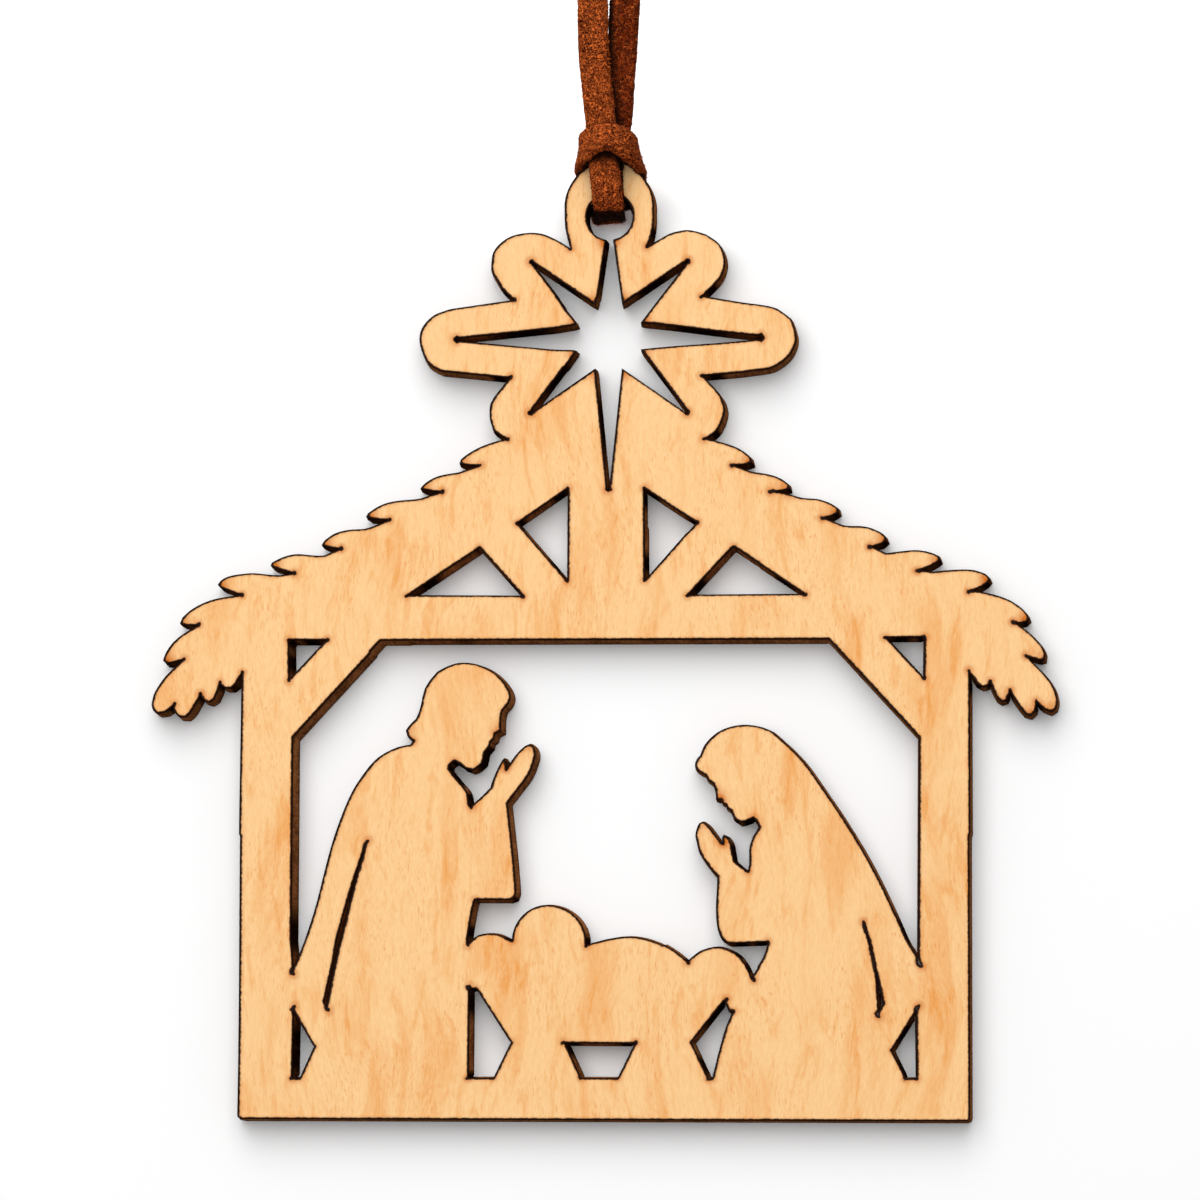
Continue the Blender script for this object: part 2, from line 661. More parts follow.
def smoothed(loop, spacing):
    """An outline with its facets made curves again; gives close points and the turn at each real corner."""
    n = len(loop)
    turns = [bend(loop[i - 1], loop[i], loop[(i + 1) % n]) for i in range(n)]
    lengths = [(loop[(i + 1) % n] - loop[i]).length for i in range(n)]
    corner = []
    for i, turn in enumerate(turns):
        # A facet of a curve turns a little, or turns more between others that turn the same way
        near = [t for t in (turns[i - 1], turns[(i + 1) % n]) if t * turn > 0 and 9 < abs(t) < 44]
        corner.append(abs(turn) >= (14, 30, 42)[len(near)])
    heading = []
    for i in range(n):
        back, on = sides_at(loop, i)
        before, after = lengths[i - 1], lengths[i]
        if before > 2.2 * after:
            heading.append(back)
        elif after > 2.2 * before:
            heading.append(on)
        else:
            heading.append((back * after + on * before).normalized())
    points, sharp = [], []
    for i in range(n):
        p, q = loop[i], loop[(i + 1) % n]
        chord = (q - p).normalized()
        start = heading[i] if not corner[i] else None
        end = heading[(i + 1) % n] if not corner[(i + 1) % n] else None
        if start is None and end is None:
            start = end = chord
        elif start is None:
            start = (chord * 2 * chord.dot(end) - end).normalized()
        elif end is None:
            end = (chord * 2 * chord.dot(start) - start).normalized()
        count = max(1, round(lengths[i] / spacing))
        for k in range(count):
            t = k / count
            points.append(
                p * (2 * t**3 - 3 * t * t + 1) + q * (3 * t * t - 2 * t**3)
                + start * lengths[i] * (t**3 - 2 * t * t + t) + end * lengths[i] * (t**3 - t * t))
            sharp.append(turns[i] if k == 0 and corner[i] else 0.0)
    return points, sharp


def outward(loop):
    """Offset directions away from the wood, longer at corners so that sides move evenly."""
    found = []
    for i in range(len(loop)):
        back, on = sides_at(loop, i)
        side = Vector((back.y + on.y, -back.x - on.x))
        if side.length < 0.05:
            side = back * 1.0
        side.normalize()
        longest = 1.0 if back.cross(on) > 0.6 else 2.2
        found.append(side * min(1.0 / max(side.dot(Vector((on.y, -on.x))), 0.4), longest))
    return found


def off_faces(x, z):
    """1 away from the two faces, which keep the plain profile of the CAD, and 0 on them."""
    spots = ((-12.0, -124.0, 4.5, 6.5), (11.0, -131.5, 4.0, 4.3))  # middle, half width, half height
    return min(step_between(max(abs(x - a) / wide, abs(z - b) / high), 1.0, 1.2) for a, b, wide, high in spots)


def trued(loop, outer):
    """The outline with the small shifts, up to 0.6 mm, that bring its edges onto the photographed ones."""
    found = []
    for i, p in enumerate(loop):
        x, z = p.x / MM, p.y / MM
        back, on = sides_at(loop, i)
        faces = [(side.y, -side.x) for side in (back, on)]
        if outer and z > STAR_FOOT and back.cross(on) < -0.3:
            faces = [((back.y + on.y) / 2, -(back.x + on.x) / 2)]
        # How far the cut here faces right, left, up and down
        right, over = (max(0.0, *(f[k] for f in faces)) for k in (0, 1))
        left, under = (max(0.0, *(-f[k] for f in faces)) for k in (0, 1))
        # The star and the ring sit higher, and the ring's top higher still
        dx, dz = 0.0, 0.25 * step_between(z, -108, -82) * (1 - step_between(x, 4, 14))
        if outer:
            dz += 0.36 * math.exp(-(x / 2.6) ** 2) * step_between(z, -71.5, -69.5)
            dx -= 0.2 * step_between(-x, 6, 11) * step_between(z, -94, -88)
            if z > STAR_FOOT and x > 6:
                dx += 0.1 * right
                dz += 0.17 * over * step_between(x, 6, 9)
            if z > STAR_FOOT and x < -6:
                dz -= 0.12 * under
            # The thatch, the left post's outer side and the base
            if -136 < z < STAR_FOOT:
                dx += 0.1 * (right - left)
                dz += 0.07 * over - (0.15 if x > 0 else 0.02) * under
            if x < -30:
                dx += 0.2 * step_between(-z, 132, 160) * (left > 0.5)
            if z < -160:
                dz += 0.1 * under
        elif z < -100:
            # The openings of the stable, with the low ones beside the manger apart
            low = step_between(-z, 146, 149)
            inner = step_between(-z, 124, 130) if abs(x) < 24 else 1.0
            veil = step_between(x, 6, 10) * (1 - low)
            dx += (0.22 - 0.14 * veil + 0.22 * low) * right * inner + 0.14 * left * (8 < x < 15)
            dx += 0.12 * left * step_between(-z, 126, 134) * (x < -3) + 0.08 * low * (-18 < x < -6)
            dz += (0.02 * over if -147 < z else 0.2 * over) - 0.12 * under
            dx, dz = dx * off_faces(x, z), dz * off_faces(x, z)
        else:
            # The hole and the star's opening, with its left ray
            dx += 0.1 * right * (z > -82)
            dz -= 0.2 * step_between(-x, 2, 6) * (abs(z + 86) < 3) + 0.1 * under * (x < 0)
        found.append(Vector((x + dx, z + dz)) * MM)
    return found


def searchable(points):
    """A tree that finds the flat points near a place."""
    tree = kdtree.KDTree(len(points))
    for index, p in enumerate(points):
        tree.insert((p.x, p.y, 0.0), index)
    tree.balance()
    return tree


class Outline:
    """The cut sheet's outline, with its distances and corners."""

    def __init__(self, loops, spacing):
        both = [smoothed(loop, spacing) for loop in loops]
        both = [(trued(points, i == 0), sharp) for i, (points, sharp) in enumerate(both)]
        self.loops = [points for points, _ in both]
        self.ways = [outward(points) for points in self.loops]
        self.corners = [(points[i], turn) for points, sharp in both for i, turn in enumerate(sharp)
                        if abs(turn) > 50]
        dense = [(p.lerp(q, k / 3), j, i) for j, loop in enumerate(self.loops)
                 for i, (p, q) in enumerate(zip(loop, loop[1:] + loop[:1])) for k in range(3)]
        self.dense = dense
        self.tree = searchable([p for p, _, _ in dense])
        self.corner_tree = searchable([p for p, _ in self.corners])

    def nearest(self, p):
        """The loop and the point in it that are nearest to a point."""
        return self.dense[self.tree.find((p.x, p.y, 0.0))[1]][1:]

    def distance(self, p):
        """Distance from a point to the outline."""
        j, i = self.nearest(p)
        loop, best = self.loops[j], 1.0
        for k in (i - 1, i, i + 1):
            a, b = loop[k % len(loop)], loop[(k + 1) % len(loop)]
            t = max(0.0, min(1.0, (p - a).dot(b - a) / max((b - a).length_squared, 1e-18)))
            best = min(best, (a.lerp(b, t) - p).length)
        return best

    def scorch(self, p):
        """How much a point is toasted by the slow beam at the corners near it, from 0 to 1."""
        tips = nooks = 0.0
        for spot, index, gap in self.corner_tree.find_range((p.x, p.y, 0.0), 1.6 * MM):
            turn = self.corners[index][1]
            reach = (0.95 if turn > 0 else 0.4) * MM
            strength = min(1.0, (abs(turn) - 25) / 60) * (0.9 + 0.5 * noise.noise(spot / MM * 0.7))
            toasted = strength * math.exp(-((gap / reach) ** 2))
            tips, nooks = (tips + toasted, nooks) if turn > 0 else (tips, nooks + toasted)
        return min(1.0, tips + min(0.4, nooks))

    def unburnt(self, p):
        """Distance to the outline in mm, counted less beside cuts that face left, whose rim is burnt wider."""
        j, i = self.nearest(p)
        return self.distance(p) / MM / (1 + 0.45 * max(0.0, -self.ways[j][i].normalized().x))

    def tightness(self, p, way):
        """How close the cut's other side is: 0 for an open side, 1 in a slit or in the lace's hole."""
        reach = 1.6 * MM
        if (p - Vector((0, HOLE_Z))).length < HOLE_RIM:
            return 1.0
        return 1.0 - min(1.0, self.distance(p + way.normalized() * reach) / reach)

    def moved(self, offset):
        """The outline moved away from the wood, less where an opening is too narrow for it."""
        result = []
        for j, (loop, ways) in enumerate(zip(self.loops, self.ways)):
            moved = []
            for p, way in zip(loop, ways):
                # The beam leans a little, so cuts below the star that face right or down slope more
                leaning = offset > 0 and p.y < (-105 if j else -92) * MM
                seen = max(0.0, 0.8 * way.x - 0.6 * way.y) if leaning else 0.0
                if j:
                    seen *= 2.2 if p.x < -20 * MM else 1.3
                q = p + way * offset * (1 + 0.8 * seen)
                if offset > 0.03 * MM and self.distance(q) < 0.85 * offset:
                    q = p + way * offset * 0.4
                moved.append(q)
            result.append(moved)
        return result


def inside(points, loops):
    """Which points lie in the wood, by counting the outline edges to their right."""
    spots = np.array([(p.x, p.y) for p in points])
    start = np.array([(p.x, p.y) for loop in loops for p in loop])
    end = np.array([(p.x, p.y) for loop in loops for p in loop[1:] + loop[:1]])
    rise = end[:, 1] - start[:, 1]
    rise[rise == 0] = 1e-18
    result = []
    for some in np.split(spots, range(2000, len(spots), 2000)):  # few at a time, to save memory
        x, y = some[:, 0:1], some[:, 1:2]
        spans = (start[:, 1] > y) != (end[:, 1] > y)
        crossing = (y - start[:, 1]) / rise * (end[:, 0] - start[:, 0]) + start[:, 0]
        result.extend((spans & (crossing > x)).sum(axis=1) % 2 == 1)
    return result


def rows_inside(outline, spacing):
    """Points in the wood in rows along the cut and in rings round its corners, to carry the scorching."""
    taken, kept = set(), []

    def keep(p, cell):
        key = (round(p.x / cell), round(p.y / cell))
        if key not in taken:
            taken.add(key)
            kept.append(p)

    for depth in (0.13, 0.24, 0.4, 0.7, 1.15):
        for loop, ways in zip(outline.loops, outline.ways):
            for p, way in zip(loop, ways):
                q = p - way * depth * MM
                if outline.distance(q) > 0.9 * depth * MM:
                    keep(q, 0.09 * MM)
    rings = [p + Vector((math.cos(t), math.sin(t))) * r * MM for p, _ in outline.corners
             for r, count in ((0.35, 8), (0.7, 12), (1.1, 16), (1.6, 16))
             for t in (2 * math.pi * k / count for k in range(count))]
    for p, wood in zip(rings, inside(rings, outline.loops)):
        if wood and outline.distance(p) > 0.1 * MM:
            keep(p, 0.2 * MM)
    return kept


def triangulated(loops, extra):
    """Triangles that fill the wood between the outlines, on these points and the extra ones."""
    points = [p for loop in loops for p in loop]
    edges, first = [], 0
    for loop in loops:
        n = len(loop)
        edges += [(first + i, first + (i + 1) % n) for i in range(n)]
        first += n
    found = geometry.delaunay_2d_cdt(points + extra, edges, [], 0, 1e-9)
    spots, triangles, origins = found[0], found[2], found[3]
    centres = [(spots[a] + spots[b] + spots[c]) / 3 for a, b, c in triangles]
    wood = inside(centres, loops)
    number_of = [o[0] if o else None for o in origins]
    return spots, [t for t, held in zip(triangles, wood) if held], number_of


def ply_piece(name, outline, levels, materials, fine, settings):
    """One ply: walls through the levels of (depth, offset), and a cap at each end.

    fine is -1 where the front cap shows the face, 1 where the back cap does, and 0 for neither.
    """
    rows = [outline.moved(offset) for _, offset in levels]
    points = [(p.x, y, p.y) for (y, _), loops in zip(levels, rows) for loop in loops for p in loop]
    faces, finishes = [], []
    count = len(points) // len(levels)
    from_edge = [0.0] * len(points)
    for level in range(len(levels) - 1):
        first = level * count
        for loop in outline.loops:
            n = len(loop)
            for i in range(n):
                a, b = first + i, first + (i + 1) % n
                faces.append((a, b, b + count, a + count))
                finishes.append(1)
            first += n
    for end, level in ((-1, 0), (1, len(levels) - 1)):
        extra = rows_inside(outline, settings.point_spacing) if fine == end else []
        spots, triangles, number_of = triangulated(rows[level], extra)
        index = []
        for spot, known in zip(spots, number_of):
            if known is not None and known < count:
                index.append(level * count + known)
            else:
                index.append(len(points))
                points.append((spot.x, levels[level][0], spot.y))
                from_edge.append(outline.unburnt(spot))
        for a, b, c in triangles:
            faces.append((index[a], index[b], index[c]) if end < 0 else (index[c], index[b], index[a]))
            finishes.append(0 if fine == end else 1)
    made = mesh_object(name, points, faces, materials, 35.0)
    made.data.polygons.foreach_set("material_index", np.array(finishes, np.int32))
    scorch = [outline.scorch(Vector((p[0], p[2]))) for p in points]
    tight = [outline.tightness(p, way) for loop, ways in zip(outline.loops, outline.ways)
             for p, way in zip(loop, ways)] * len(levels)
    tight += [0.0] * (len(points) - len(tight))
    for label, values in (("from_edge", from_edge), ("scorch", scorch), ("tight", tight)):
        carry(made.data, label, values)
    return made


# Wood finishes


def grain_group():
    """Figure, fibres and flecks of rotary-cut birch, with the grain along Z."""
    if "birch grain" in bpy.data.node_groups:
        return bpy.data.node_groups["birch grain"]
    tree, given, result = node_group(
        "birch grain", [("Vector", "Vector", None)],
        [("Figure", "Float"), ("Fibre", "Float"), ("Fleck", "Float")])
    spot = given.outputs["Vector"]
    sway = node(tree, "ShaderNodeTexNoise", {"Vector": spot, "Scale": 0.045, "Detail": 2.0}).outputs["Color"]
    sway = vectors(tree, "MULTIPLY", vectors(tree, "SUBTRACT", sway, (0.5, 0.5, 0.5)), (6.0, 0.0, 5.0))
    flow = vectors(tree, "ADD", spot, sway)
    broad = fade(tree, cloud(tree, flow, (0.26, 0.26, 0.055), 4.0, 0.6, 0.55), 0.46, 0.7)
    patch = fade(tree, cloud(tree, flow, (0.9, 0.9, 0.2), 4.0, 0.9, 0.6), 0.5, 0.7)
    figure = plus(tree, times(tree, broad, 0.55), times(tree, patch, 0.45))
    fibre = cloud(tree, flow, (6.5, 6.5, 1.5), 3.0, 0.3, 0.62)
    dashes = cloud(tree, flow, (7.5, 7.5, 1.1), 1.0, 0.4)
    where = cloud(tree, spot, (0.3, 0.3, 0.15), 2.0)
    fleck = times(tree, fade(tree, dashes, 0.58, 0.7), fade(tree, where, 0.4, 0.62))
    put_out(tree, result, {"Figure": figure, "Fibre": fibre, "Fleck": fleck})
    return tree


def burn_group():
    """Masks for the burnt line, the brown halo and the toasted corners of a laser cut."""
    if "laser burn" in bpy.data.node_groups:
        return bpy.data.node_groups["laser burn"]
    tree, given, result = node_group(
        "laser burn",
        [("Vector", "Vector", None), ("From edge", "Float", 1.0), ("Corner", "Float", 0.0),
         ("Char width", "Float", 0.12), ("Halo width", "Float", 0.5)],
        [("Char", "Float"), ("Halo", "Float"), ("Scorch", "Float")])
    spot = given.outputs["Vector"]
    ragged = cloud(tree, spot, (2.6, 2.6, 2.6), 2.0)
    patchy = cloud(tree, spot, (0.5, 0.5, 0.35), 2.0)
    gap = given.outputs["From edge"]
    width = times(tree, given.outputs["Char width"], plus(tree, ragged, 0.42))
    char = flipped(tree, fade(tree, gap, times(tree, width, 0.7), times(tree, width, 1.3)))
    reach = times(tree, given.outputs["Halo width"], plus(tree, patchy, 0.3))
    halo = flipped(tree, fade(tree, gap, 0.0, reach))
    scorch = times(tree, given.outputs["Corner"], plus(tree, ragged, 0.45))
    put_out(tree, result, {"Char": char, "Halo": halo, "Scorch": scorch})
    return tree


def face_material(settings):
    """Sanded birch veneer, burnt along its cuts."""
    if "sanded_birch" in bpy.data.materials:
        return bpy.data.materials["sanded_birch"]
    made, tree, shader = material("sanded_birch", 0.6, 0.07)
    spot = in_millimetres(tree)
    grain = placed(tree, grain_group(), {"Vector": spot})
    burn = placed(tree, burn_group(), {
        "Vector": spot, "From edge": carried(tree, "from_edge"), "Corner": carried(tree, "scorch"),
        "Char width": settings.char_width, "Halo width": settings.halo_width})
    lines = fade(tree, grain.outputs["Fibre"], 0.3, 0.75)
    figured = plus(tree, times(tree, grain.outputs["Figure"], 0.88), times(tree, lines, 0.3))
    toasted = sums(tree, "MINIMUM", times(tree, burn.outputs["Scorch"], 1.25), 1.0)
    colour = blended(tree, figured, settings.birch, settings.streak)
    colour = blended(tree, times(tree, grain.outputs["Fleck"], 0.5), colour, settings.fleck)
    colour = blended(tree, times(tree, burn.outputs["Halo"], 0.5), colour, settings.scorch)
    colour = blended(tree, toasted, colour, settings.scorch)
    colour = blended(tree, burn.outputs["Char"], colour, settings.char)
    tree.links.new(colour, shader.inputs["Base Color"])
    bumped(tree, shader, grain.outputs["Fibre"], 0.06, 0.03 * MM)
    return made


def wall_material(settings):
    """Laser-cut wall: brown with stripes through the sheet, black at its rims and dark at the glue."""
    if "scorched_wall" in bpy.data.materials:
        return bpy.data.materials["scorched_wall"]
    made, tree, shader = material("scorched_wall", 0.95, 0.0)
    spot = in_millimetres(tree)
    burn = placed(tree, burn_group(), {
        "Vector": spot, "From edge": 1.0, "Corner": carried(tree, "scorch"),
        "Char width": settings.char_width, "Halo width": settings.halo_width})
    depth = sums(tree, "ABSOLUTE", axis_of(tree, spot, "Y"))
    stripes = cloud(tree, spot, (4.2, 0.35, 4.2), 3.0, 0.2, 0.6)
    broad = cloud(tree, spot, (0.5, 0.4, 0.5), 2.0)
    level = plus(tree, times(tree, stripes, 0.7), times(tree, broad, 0.5))
    rim = fade(tree, plus(tree, depth, times(tree, stripes, 0.25)), 1.24, 1.6)
    glue_gap = sums(tree, "ABSOLUTE", sums(tree, "SUBTRACT", depth, GLUE_DEPTH / MM))
    glue = flipped(tree, fade(tree, glue_gap, 0.02, 0.14))
    colour = blended(tree, fade(tree, level, 0.4, 0.82), settings.wall_dark, settings.wall)
    tight = fade(tree, carried(tree, "tight"), 0.3, 0.85)
    colour = blended(tree, times(tree, tight, 0.96), colour, SOOT)
    for mask in (times(tree, glue, 0.55), times(tree, burn.outputs["Scorch"], 0.5), rim):
        colour = blended(tree, mask, colour, settings.char)
    tree.links.new(colour, shader.inputs["Base Color"])
    bumped(tree, shader, stripes, 0.5, 0.06 * MM)
    return made


# Operators


class ORNAMENT_OT_camera(bpy.types.Operator):
    """Place the camera where the photograph was taken from"""

    bl_idname = "ornament.camera"
    bl_label = "Camera"

    def execute(self, context):
        turned, raised, rolled = (math.radians(d) for d in (4.29, -5.06, 0.19))
        distance = 0.6
        target = Vector((-0.9 * MM, 0.0, PLATE_BASE + 52.0 * MM))
        away = Vector((math.sin(turned) * math.cos(raised), -math.cos(turned) * math.cos(raised),
                       math.sin(raised)))
        right = Vector((0, 0, 1)).cross(away).normalized()
        up = away.cross(right)
        right, up = (right * math.cos(rolled) + up * math.sin(rolled),
                     up * math.cos(rolled) - right * math.sin(rolled))
        lens = bpy.data.cameras.new("view")
        lens.sensor_width = 36.0
        lens.lens = FOCAL_PIXELS / PHOTO_PIXELS * lens.sensor_width
        lens.clip_start, lens.clip_end = 0.01, 10.0
        camera = bpy.data.objects.new("view", lens)
        stance = Matrix((right, up, away)).transposed().to_4x4()
        camera.matrix_world = Matrix.Translation(target + away * distance) @ stance
        context.scene.collection.objects.link(camera)
        context.scene.camera = camera
        return {"FINISHED"}


class ORNAMENT_OT_lace(bpy.types.Operator):
    """Make the suede lace: two strands up to the knot, and the hitch round the ring"""

    bl_idname = "ornament.lace"
    bl_label = "Lace"

    def execute(self, context):
        settings = context.scene.ornament_lace
        finish = suede_material("napped_suede", settings, 0.0, 0.12 * MM)
        spots, facings = walked(lace_way(), 0.22 * MM)
        whole, _, whole_faces = swept(spots, facings, settings)
        plies = [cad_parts[name].data for name in ("front_veneer", "core_ply", "back_veneer")]
        around = surroundings([(whole, whole_faces)] + [
            ([v.co for v in ply.vertices], [tuple(p.vertices) for p in ply.polygons]) for ply in plies])
        count = len(spots)
        low = min(range(count), key=lambda i: spots[i].z)
        start, end = (min(side, key=lambda i: abs(spots[i].z - SEAM_Z))
                      for side in (range(low), range(low, count)))
        bar = min(range(count), key=lambda i: spots[i].y)
        turned = length_of(spots[:bar + 1]) / MM + 5.0
        made = {}
        for name, first, last, seed in (
            ("lace_left", 0, start, 3), ("lace_hitch", start, end, 5), ("lace_right", end, count - 1, 7),
        ):
            along = length_of(spots[:first + 1]) / MM
            piece = ribbon(name, spots[first:last + 1], facings[first:last + 1], settings, [finish], around,
                           along, turned)
            grow_nap(piece, settings, seed)
            made[name] = piece
        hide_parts("left_strand", "left_tail")
        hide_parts("right_strand", "right_tail")
        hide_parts("hitch", "left_neck", "right_neck")
        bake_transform(made["lace_left"])
        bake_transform(made["lace_right"])
        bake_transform(made["lace_hitch"])
        return {"FINISHED"}


class ORNAMENT_OT_knot(bpy.types.Operator):
    """Make the overhand knot that closes the lace's loop"""

    bl_idname = "ornament.knot"
    bl_label = "End knot"

    def execute(self, context):
        settings = context.scene.ornament_lace
        finish = suede_material("napped_suede", settings, 0.0, 0.12 * MM)
        low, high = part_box("end_knot")
        middle = (low + high) / 2
        reach = (high - low) / 2
        layers = []
        steps, wraps, tucked = 28, 1.75, 0.13
        for inset, lift in ((0.0, 0.0), (1.06 * MM, 0.25 * MM)):
            way = []
            for k in range(steps + 1):
                t = k / steps
                turn = 2 * math.pi * wraps * t + math.radians(200)
                # Both ends of the wrap are tucked in
                ends = max(0.0, 1 - t / tucked), max(0.0, (t - (1 - tucked)) / tucked)
                tuck = 1.0 - 0.42 * ends[0] ** 2 - 0.42 * ends[1] ** 2
                across, deep = ((r - settings.thickness * 0.62 - inset) * tuck for r in (reach.x, reach.y))
                rise = (t - 0.5) * (2 * reach.z - settings.width * 1.02) + 0.25 * MM * math.sin(turn)
                place = Vector((middle.x + across * math.cos(turn), middle.y + deep * math.sin(turn),
                                middle.z + rise + lift * (0.5 - t)))
                facing = Vector((math.cos(turn) / across, math.sin(turn) / deep, 0.0)).normalized()
                way.append((place, facing))
            layers.append(walked(way, 0.3 * MM))
        pieces = []
        around = surroundings([swept(spots, facings, settings)[::2] for spots, facings in layers])
        for i, (spots, facings) in enumerate(layers):
            piece = ribbon(f"lace_knot_{i}", spots, facings, settings, [finish], around, 40.0 * i)
            grow_nap(piece, settings, 11 + i)
            pieces.append(piece)
        with context.temp_override(active_object=pieces[0], selected_editable_objects=pieces,
                                   selected_objects=pieces, object=pieces[0]):
            bpy.ops.object.join()
        knot = pieces[0]
        knot.name = knot.data.name = "lace_knot"
        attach(knot, "loop")
        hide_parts("end_knot")
        return {"FINISHED"}


class ORNAMENT_OT_plates(bpy.types.Operator):
    """Make the three plies of the cut sheet, with their burnt edges"""

    bl_idname = "ornament.plates"
    bl_label = "Plywood plate"

    def execute(self, context):
        settings = context.scene.ornament_plywood
        loops = outlines_of("front_veneer")
        if len(loops) < 10:
            raise RuntimeError(f"the front veneer has only {len(loops)} outlines")
        outline = Outline(loops, settings.point_spacing)
        finishes = [face_material(settings), wall_material(settings)]
        ease = settings.edge_break

        def level(y, offset=0.0):
            return y, settings.kerf_taper * (y - PLATE_FRONT) / (PLATE_BACK - PLATE_FRONT) + offset

        plies = (
            ("front_face_ply", "front_veneer", "face_birch", -1,
             [level(PLATE_FRONT, -ease), level(PLATE_FRONT + ease), level(-GLUE_DEPTH)]),
            ("middle_ply", "core_ply", "core_birch", 0,
             [level(-GLUE_DEPTH), level(0.0), level(GLUE_DEPTH)]),
            ("back_face_ply", "back_veneer", "face_birch", 1,
             [level(GLUE_DEPTH), level(PLATE_BACK - ease), level(PLATE_BACK, -ease)]),
        )
        for name, stands_for, slot, fine, levels in plies:
            piece = ply_piece(name, outline, levels, finishes, fine, settings)
            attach(piece, "plate")
            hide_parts(stands_for)
            if fine == 1:
                piece.visible_diffuse = False  # keeps its warm bounce off the paper
        return {"FINISHED"}


class ORNAMENT_OT_stage(bpy.types.Operator):
    """Make the white backdrop close behind the ornament, the pale floor and the light"""

    bl_idname = "ornament.stage"
    bl_label = "Stage"

    def execute(self, context):
        settings = context.scene.ornament_stage
        scene = context.scene
        scene.view_settings.view_transform = "Standard"
        floor_z = PLATE_BASE - settings.floor_drop
        # One sheet of paper hangs just behind the plate and curves back from the ring up, behind the hitch
        near, bend_z, radius = PLATE_BACK + settings.gap, HOLE_Z - 3.6 * MM, 7.0 * MM
        rows = [(near, floor_z)]
        for k in range(8):
            turn = math.radians(5 * k)
            rows.append((near + radius * (1 - math.cos(turn)), bend_z + radius * math.sin(turn)))
        deep, high = rows[-1][0] + 7 * MM, rows[-1][1] + 10 * MM
        rows.append((deep, high))
        paper = stage_material(settings)
        backdrop = paper_sheet("backdrop", rows, paper)
        # A second one stays still and leans back behind the lace
        leaning = [(deep + 2 * MM, high - 6 * MM), (deep + 1.14, high + 0.8)]
        upper = paper_sheet("upper_backdrop", leaning, paper)
        floor = mesh_object("floor", [(x, y, floor_z) for x, y in ((-2, -2), (2, -2), (2, 2), (-2, 2))],
                            [(0, 1, 2, 3)], [paper])
        floor.visible_shadow = floor.visible_diffuse = False
        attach(backdrop, "hitch")  # so that the plate stays in front of it as it tilts and turns

        world = bpy.data.worlds.new("room")
        world.use_nodes = True
        scene.world = world
        tree = world.node_tree
        back = tree.nodes["Background"]
        path = node(tree, "ShaderNodeLightPath")
        seen = sums(tree, "MAXIMUM", path.outputs["Is Camera Ray"], path.outputs["Is Glossy Ray"])
        # The room is lighter overhead than underfoot, and dim behind the ornament
        sky = node(tree, "ShaderNodeTexCoord").outputs["Generated"]
        overhead = sums(tree, "MULTIPLY_ADD", axis_of(tree, sky, "Z"), 0.4, 1.0)
        rear = node(tree, "ShaderNodeMapRange", {
            "Value": axis_of(tree, sky, "Y"), "From Min": -0.1, "From Max": 0.4,
            "To Min": settings.room_light, "To Max": settings.room_light * 0.3})
        level = node(tree, "ShaderNodeMapRange", {
            "Value": seen, "To Min": times(tree, overhead, rear.outputs[0]), "To Max": 1.0})
        tree.links.new(level.outputs[0], back.inputs["Strength"])
        back.inputs["Color"].default_value = (1.0, 1.0, 1.0, 1.0)

        middle = Vector((0.0, 0.0, PLATE_BASE + 48 * MM))
        self.lamp(scene, "window", middle, Vector((-0.15, -1.0, 0.52)), 0.9, (1.0, 1.4),
                  settings.window_light, Vector((0, -1, 0)))
        self.lamp(scene, "behind", middle, Vector((0.0, 1.0, 0.1)), 1.0, (0.3, 0.3), 0.7, Vector((0, 1, 0)))
        return {"FINISHED"}

    def lamp(self, scene, name, target, way, distance, size, level, surface):
        """A soft lamp, so wide and so high, that lights a white surface at the target to this level."""
        way = way.normalized()
        light = bpy.data.lights.new(name, "AREA")
        light.shape = "ELLIPSE"
        light.size, light.size_y = size
        stance = Matrix.Translation(way * distance) @ way.to_track_quat("Z", "Y").to_matrix().to_4x4()
        # The share of its light that falls on the surface, over even spots of the lamp
        share, spots = [], 400
        for i in range(spots):
            out, turn = math.sqrt((i + 0.5) / spots), i * GOLDEN_ANGLE
            ray = stance @ Vector((out * math.cos(turn) * size[0] / 2, out * math.sin(turn) * size[1] / 2, 0))
            share.append(max(ray.dot(surface), 0.0) * max(ray.dot(way), 0.0) / ray.length**4)
        light.energy = level * math.pi**2 * len(share) / sum(share)
        lamp = bpy.data.objects.new(name, light)
        lamp.matrix_world = Matrix.Translation(target) @ stance
        scene.collection.objects.link(lamp)


def paper_sheet(name, rows, paper):
    """A wide sheet through rows of (depth, height) that only the camera sees."""
    corners = [(x, y, z) for y, z in rows for x in (-PAPER_REACH, PAPER_REACH)]
    faces = [(2 * i, 2 * i + 1, 2 * i + 3, 2 * i + 2) for i in range(len(rows) - 1)]
    sheet = mesh_object(name, corners, faces, [paper])
    sheet.visible_diffuse = sheet.visible_glossy = sheet.visible_shadow = sheet.visible_transmission = False
    return sheet


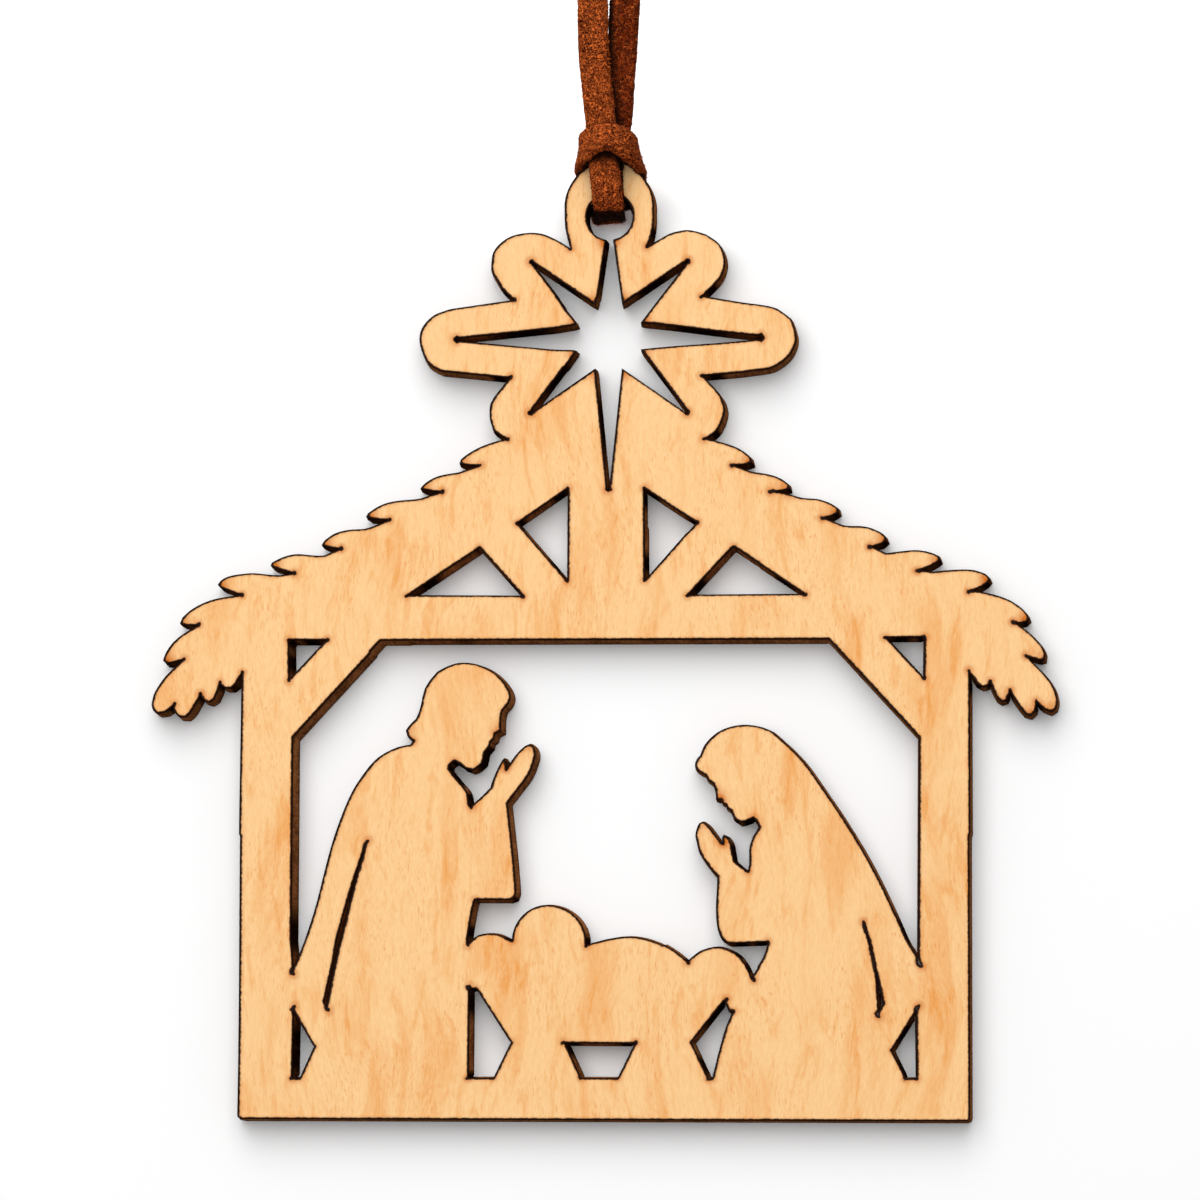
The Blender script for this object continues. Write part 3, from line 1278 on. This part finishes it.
def stage_material(settings):
    """White paper, which the camera sees from its lit side only."""
    made, tree, shader = material("white_paper", 0.9, 0.0)
    shader.inputs["Base Color"].default_value = (*settings.backdrop, 1.0)
    path = node(tree, "ShaderNodeLightPath")
    glow = node(tree, "ShaderNodeEmission", {"Color": (1.0, 1.0, 1.0, 1.0)})
    # Where it curves back over the ring it is as white as the rest
    over = fade(tree, axis_of(tree, in_millimetres(tree), "Z"), -73.0, -66.0)
    whiter = sums(tree, "MULTIPLY_ADD", over, 0.5, 0.045)
    tree.links.new(times(tree, path.outputs["Is Camera Ray"], whiter), glow.inputs["Strength"])
    lit = node(tree, "ShaderNodeAddShader", {0: shader.outputs[0], 1: glow.outputs[0]})
    clear = node(tree, "ShaderNodeBsdfTransparent")
    side = node(tree, "ShaderNodeNewGeometry")
    shown = node(tree, "ShaderNodeMixShader", {0: side.outputs["Backfacing"], 1: lit.outputs[0],
                                               2: clear.outputs[0]})
    tree.links.new(shown.outputs[0], tree.nodes["Material Output"].inputs["Surface"])
    return made


class ORNAMENT_PT_panel(bpy.types.Panel):
    """The ornament's steps and their settings."""

    bl_label = "Nativity scene ornament"
    bl_idname = "ORNAMENT_PT_panel"
    bl_space_type = "VIEW_3D"
    bl_region_type = "UI"
    bl_category = "Ornament"

    def draw(self, context):
        scene = context.scene
        for step in STEPS:
            self.layout.operator(step.bl_idname)
        for group in (scene.ornament_lace, scene.ornament_plywood, scene.ornament_stage):
            box = self.layout.box()
            for name in group.bl_rna.properties.keys():
                if name not in ("rna_type", "name"):
                    box.prop(group, name)


SETTINGS = {"ornament_lace": LaceSettings, "ornament_plywood": PlywoodSettings, "ornament_stage": StageSettings}
STEPS = (ORNAMENT_OT_camera, ORNAMENT_OT_lace, ORNAMENT_OT_knot, ORNAMENT_OT_plates, ORNAMENT_OT_stage)


def register():
    for group in SETTINGS.values():
        bpy.utils.register_class(group)
    for step in STEPS:
        bpy.utils.register_class(step)
    bpy.utils.register_class(ORNAMENT_PT_panel)
    for name, group in SETTINGS.items():
        setattr(bpy.types.Scene, name, bpy.props.PointerProperty(type=group))


def unregister():
    for name in SETTINGS:
        delattr(bpy.types.Scene, name)
    for made in (ORNAMENT_PT_panel, *STEPS[::-1], *SETTINGS.values()):
        bpy.utils.unregister_class(made)


def main():
    """Run every step in order."""
    register()
    bpy.ops.ornament.camera()
    bpy.ops.ornament.lace()
    bpy.ops.ornament.knot()
    bpy.ops.ornament.plates()
    bpy.ops.ornament.stage()


if __name__ == "__main__":
    main()
